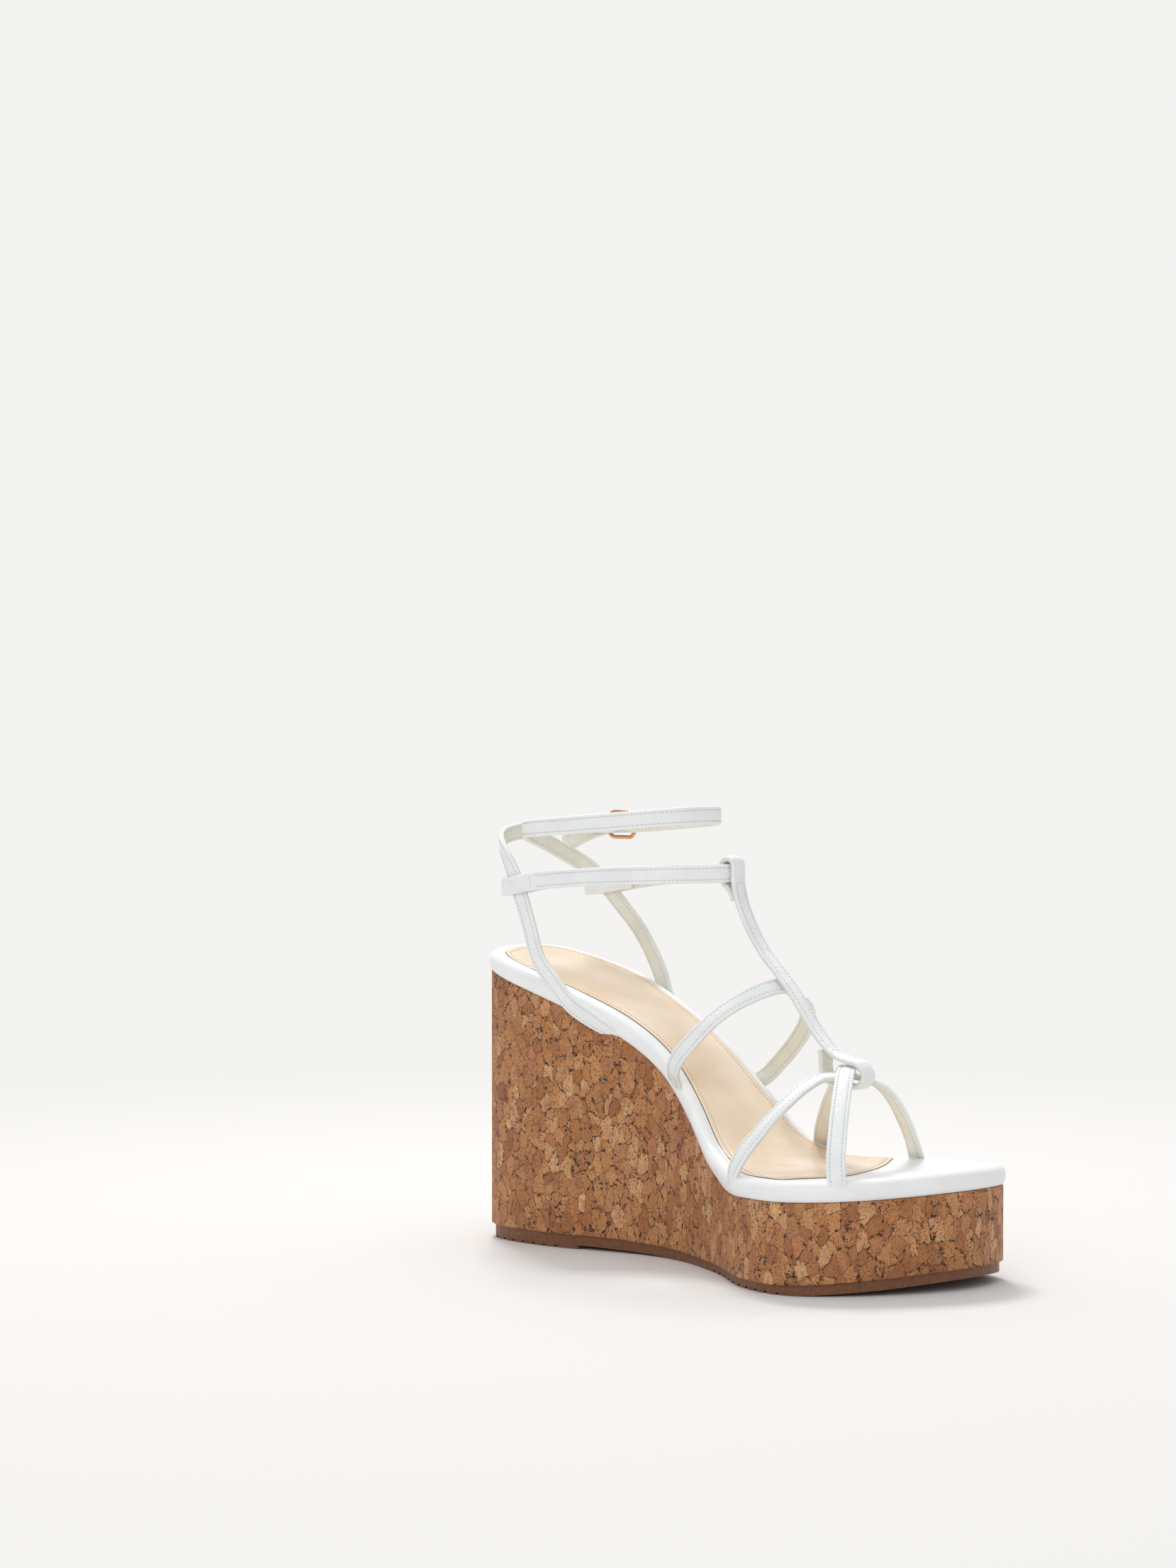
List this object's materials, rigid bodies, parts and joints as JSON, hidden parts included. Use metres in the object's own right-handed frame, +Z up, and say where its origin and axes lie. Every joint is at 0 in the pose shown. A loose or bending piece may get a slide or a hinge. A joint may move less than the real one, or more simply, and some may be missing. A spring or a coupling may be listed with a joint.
{
  "type": "wedge sandal",
  "caption": "Platform wedge sandal with a cork-wrapped sole, padded footbed, narrow crossed straps, centre strap, ankle band and a buckled ankle strap",
  "frame": {"origin": "bottom centre of the shoe's bounding box, on the floor", "axes": "+Y from toe to heel, +X to the outer (buckle) side, +Z up"},
  "size_m": [0.1001, 0.2406, 0.1821],
  "materials": {
    "outsole_rubber": "moulded, satin",
    "core_plastic": "moulded light core",
    "cork": "pressed cork chips, waxed",
    "board": "fibre board",
    "upper": "smooth coated, satin",
    "foam": "soft foam",
    "sock": "smooth, soft sheen",
    "strap_lining": "coated lining",
    "buckle_metal": "polished pinkish gold plate"
  },
  "bodies": {
    "shoe": {"outsole": "outsole_rubber", "wedge_core": "core_plastic", "cork_wrap": "cork", "insole_board": "board", "footbed_cover": "upper", "foam_pad": "foam", "sock_lining": "sock", "rear_toe_strap": "upper", "rear_toe_strap_lining": "strap_lining", "front_toe_strap": "upper", "front_toe_strap_lining": "strap_lining", "instep_strap": "upper", "instep_strap_lining": "strap_lining", "centre_strap": "upper", "centre_strap_lining": "strap_lining", "ankle_band": "upper", "ankle_band_lining": "strap_lining", "hole_strap": "upper", "hole_strap_lining": "strap_lining", "buckle_strap": "upper", "buckle_strap_lining": "strap_lining"},
    "tail": {"strap_tail": "upper", "strap_tail_lining": "strap_lining"},
    "frame": {"buckle_frame": "buckle_metal"},
    "prong": {"buckle_prong": "buckle_metal"}
  },
  "joints": [
    {"name": "buckle_hinge", "type": "hinge", "parent": "shoe", "child": "frame", "pos_m": [0.031, 0.091, 0.1723], "axis": [0, 0, 1], "range_deg": [0, 10]},
    {"name": "prong_hinge", "type": "hinge", "parent": "frame", "child": "prong", "pos_m": [0.031, 0.091, 0.1723], "axis": [0, 0, 1], "range_deg": [0, 10]},
    {"name": "tail_bend", "type": "hinge", "parent": "shoe", "child": "tail", "pos_m": [0.035, 0.0969, 0.1713], "axis": [0.109, -0.273, -0.9558], "range_deg": [0, 45]}
  ]
}
